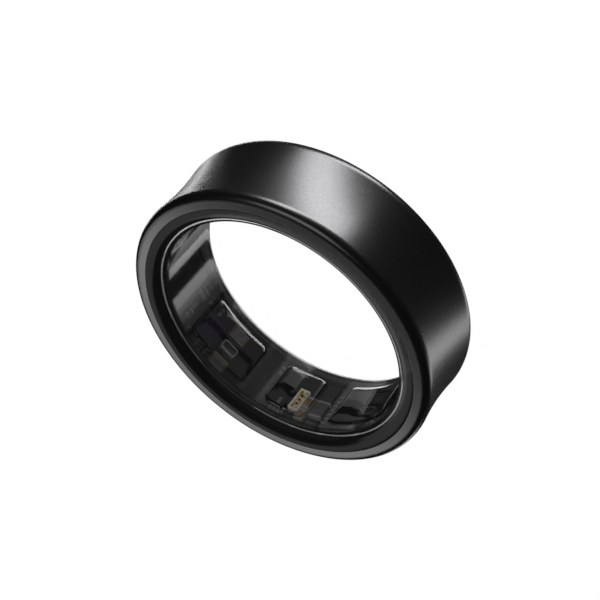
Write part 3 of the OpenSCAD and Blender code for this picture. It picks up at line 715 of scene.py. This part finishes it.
# Small resistors and capacitors: chips of pale ceramic with tinned ends, in rows beside the windows,
# and a column of bare tinned test pads.
def capped(piece, share):
    """Marks both ends of every chip in a piece, along the axis, for its second material."""
    bpy.ops.object.select_all(action="DESELECT")
    piece.select_set(True)
    bpy.context.view_layer.objects.active = piece
    bpy.ops.object.mode_set(mode="EDIT")
    bpy.ops.mesh.select_all(action="SELECT")
    bpy.ops.mesh.separate(type="LOOSE")
    bpy.ops.object.mode_set(mode="OBJECT")
    chips = list(bpy.context.selected_objects)
    for chip in chips:
        heights = [v.co.z for v in chip.data.vertices]
        low, high = min(heights), max(heights)
        cuts = (low + share * (high - low), high - share * (high - low))
        bpy.context.view_layer.objects.active = chip
        bpy.ops.object.select_all(action="DESELECT")
        chip.select_set(True)
        bpy.ops.object.mode_set(mode="EDIT")
        for cut in cuts:
            bpy.ops.mesh.select_all(action="SELECT")
            bpy.ops.mesh.bisect(plane_co=(0, 0, cut), plane_no=(0, 0, 1))
        bpy.ops.object.mode_set(mode="OBJECT")
        for face in chip.data.polygons:
            if not cuts[0] < face.center.z < cuts[1]:
                face.material_index = 1
    bpy.ops.object.select_all(action="DESELECT")
    for chip in chips:
        chip.select_set(True)
    bpy.context.view_layer.objects.active = piece
    bpy.ops.object.join()


resistor_body = speckled("resistor_ceramic", (0.02, 0.02, 0.022), (0.03, 0.03, 0.033), 6000.0, 0.4)
capacitor_body = speckled("pale_ceramic", (0.08, 0.075, 0.07), (0.12, 0.113, 0.105), 6000.0, 0.45)
plated = speckled("plated_ends", (0.08, 0.08, 0.082), (0.12, 0.12, 0.122), 5000.0, 0.4, 0.3)
small_tin = speckled("tinned_pads", (0.18, 0.18, 0.175), (0.26, 0.26, 0.25), 5000.0, 0.45, 0.3)
cap_share = 0.3
capped(softened("small_resistors", "small_part_grey", 0.02 * mm, resistor_body, plated), cap_share)
capped(softened("small_capacitors", "small_part_grey", 0.02 * mm, capacitor_body, small_tin), cap_share)
softened("test_pads", "solder_tin", 0.008 * mm, small_tin)


# Side window light sources: a pale reflector frame with round corners, two dies on its floor and
# cloudy gel over them. Black barriers keep its light off the photodiodes.
reflector = speckled("reflector_plastic", (0.11, 0.11, 0.108), (0.15, 0.15, 0.147), 5000.0, 0.4)
gel_finish = speckled("cloudy_gel", (0.028, 0.028, 0.027), (0.042, 0.042, 0.041), 3500.0, 0.2)
gel_t = 0.2 * mm
gel_sunk = 0.045 * mm
for side in ("left", "right"):
    softened(side + "_led_frame", "frame_plastic", 0.03 * mm, reflector)
    softened(side + "_led_dies", "die_crystal", 0.01 * mm, glow_die)
    softened(side + "_light_barriers", "barrier_plastic", 0.02 * mm, black)
    angle, top, z = seat(side + "_led_frame")
    gel = plate(side + "_led_gel", 0.578 * mm, 1.198 * mm, gel_t, corner=0.139 * mm, edge=0.03 * mm)
    gel.data.materials.append(gel_finish)
    lay(gel, angle, top + gel_sunk + gel_t, z)
    stand_in(gel, "filter_glass")


# Photodiodes: dark silicon blocks with a grey active face. Each has a gold guard ring round the face
# and gold contacts down its long edges. A broad one with a dark purple filter stands beside them.
silicon = speckled("dark_silicon", (0.014, 0.014, 0.015), (0.022, 0.022, 0.024), 5000.0, 0.35)
active = speckled("active_face", (0.075, 0.075, 0.078), (0.1, 0.1, 0.105), 2500.0, 0.2)
purple = speckled("purple_filter", (0.0098, 0.0066, 0.0117), (0.0165, 0.0111, 0.0197), 1500.0, 0.12)
face_x = 1.0 * mm
face_y = 1.22 * mm
rail_gap = 0.025 * mm
rail_x = face_x / 2 + rail_gap
rail_y = face_y / 2 + rail_gap
rail_t = 0.012 * mm
rail_w = 0.014 * mm
bars_a_side = 9
bar_t = 0.016 * mm
row_x = rail_x + 0.025 * mm
row_y = rail_y + 0.03 * mm
row_len = 1.08 * mm
column_len = 1.24 * mm
gold_edge = 0.004 * mm
diode_face = plate("diode_face", face_x, face_y, 0.02 * mm, corner=0.03 * mm, edge=0.008 * mm)
diode_face.data.materials.append(active)
bars = [plate("bar", 0.03 * mm, 0.024 * mm, bar_t, corner=gold_edge, edge=gold_edge,
              x=row_len * (i / (bars_a_side - 1) - 0.5), y=j * row_y)
        for i in range(bars_a_side) for j in (-1, 1)]
bars += [plate("bar", 0.024 * mm, 0.05 * mm, bar_t, corner=gold_edge, edge=gold_edge,
               x=j * row_x, y=column_len * (i / bars_a_side - 0.445))
         for i in range(bars_a_side) for j in (-1, 1)]
bars += [plate("rail", 1.14 * mm, rail_w, rail_t, corner=gold_edge, edge=gold_edge, y=j * rail_y)
         for j in (-1, 1)]
bars += [plate("rail", rail_w, 1.25 * mm, rail_t, corner=gold_edge, edge=gold_edge, x=j * rail_x)
         for j in (-1, 1)]
guard_ring = joined("guard_ring", bars)
dull_gold = speckled("bond_gold", (0.26, 0.2, 0.05), (0.36, 0.28, 0.08), 4000.0, 0.4, 0.3)
guard_ring.data.materials.append(dull_gold)


def twin(piece, name):
    """A copy of a piece with its own mesh."""
    copy = piece.copy()
    copy.data = piece.data.copy()
    copy.name = name
    scene.collection.objects.link(copy)
    return copy


for side in ("left", "right"):
    for row in ("upper", "lower"):
        node = side + "_" + row + "_photodiode"
        softened(node, "photodiode_silicon", 0.02 * mm, silicon)
        angle, top, z = seat(node)
        face = twin(diode_face, node + "_face")
        lay(face, angle, top, z)
        stand_in(face, "photodiode_silicon")
        guard = twin(guard_ring, node + "_guard_ring")
        lay(guard, angle, top, z)
        stand_in(guard, "gold_plating")
    softened(side + "_broad_photodiode", "filter_glass", 0.03 * mm, purple)
bpy.data.objects.remove(diode_face)
bpy.data.objects.remove(guard_ring)
softened("photodiode_contacts", "gold_plating", 0.008 * mm, dull_gold)


# Antenna: a thin strip of etched metal with an olive coating, held under the lining's upper flange
# and fed from the circuit by a gold-plated spring clip.
dress("antenna", speckled("etched_strip", (0.06, 0.055, 0.03), (0.1, 0.09, 0.05), 2500.0, 0.4, 0.6))
softened("antenna_clip", "gold_plating", 0.03 * mm, gold)


# Battery: a curved cell in laminated foil, bonded to the shell by white adhesive, with nickel tabs
# welded to a small green protection board, and amber tape over the joint.
pouch, shader, add, links = finish("laminated_foil")
place = add("TexCoord").outputs["Object"]
crease = add("TexNoise", {"Vector": place}, Scale=700.0, Detail=5.0, Distortion=0.8)
tone = add("ValToRGB", {"Fac": crease.outputs["Fac"]})
tone.color_ramp.elements[0].color = (0.34, 0.35, 0.36, 1)
tone.color_ramp.elements[1].color = (0.5, 0.51, 0.52, 1)
links.new(tone.outputs["Color"], shader.inputs["Base Color"])
emboss = add("Bump", {"Height": crease.outputs["Fac"]}, Strength=0.35, Distance=0.00004)
links.new(emboss.outputs["Normal"], shader.inputs["Normal"])
shader.inputs["Metallic"].default_value = 0.85
shader.inputs["Roughness"].default_value = 0.34
dress("battery_cell", pouch)
dress("battery_adhesive", speckled("white_adhesive", (0.5, 0.49, 0.46), (0.66, 0.65, 0.61), 1800.0, 0.7))
nickel = speckled("nickel_strip", (0.5, 0.48, 0.44), (0.62, 0.6, 0.55), 3500.0, 0.3, 1.0)
for node in ("positive_tab", "negative_tab"):
    softened(node, "tab_nickel", 0.015 * mm, nickel)
dress("protection_board", tracked("green_board", (0.008, 0.05, 0.026), (0.03, 0.12, 0.06),
                                  radius=10.6 * mm, track_len=1.1 * mm, track_h=0.3 * mm))
dress("insulating_tape", speckled("amber_tape", (0.3, 0.14, 0.015), (0.42, 0.22, 0.03), 1200.0, 0.3))


# Battery lead: a copper-coloured flexible film from the protection board to the circuit, where it
# ends in a press connector, a low black moulded socket and plug.
dress("battery_lead", tracked("lead_tracks", (0.12, 0.05, 0.012), (0.3, 0.13, 0.035),
                              radius=10.8 * mm, track_len=8 * mm, track_h=0.3 * mm))
for node in ("connector_socket", "connector_plug"):
    softened(node, "chip_plastic", 0.02 * mm, moulded)


# Charging coil: five flat turns of bare copper on brown film, over a dark ferrite sheet, with a film
# tail to the circuit.
dress("charging_coil", speckled("bare_copper", (0.42, 0.19, 0.08), (0.6, 0.3, 0.14), 1500.0, 0.3, 1.0))
dress("coil_film", speckled("brown_film", (0.05, 0.025, 0.01), (0.085, 0.045, 0.018), 1500.0, 0.3))
dress("coil_tail", tracked("tail_tracks", (0.03, 0.018, 0.01), (0.09, 0.05, 0.025),
                           radius=10.0 * mm, track_len=6 * mm, track_h=0.24 * mm))
dress("ferrite_sheet", speckled("pressed_ferrite", (0.03, 0.03, 0.032), (0.055, 0.055, 0.058),
                                4000.0, 0.55))
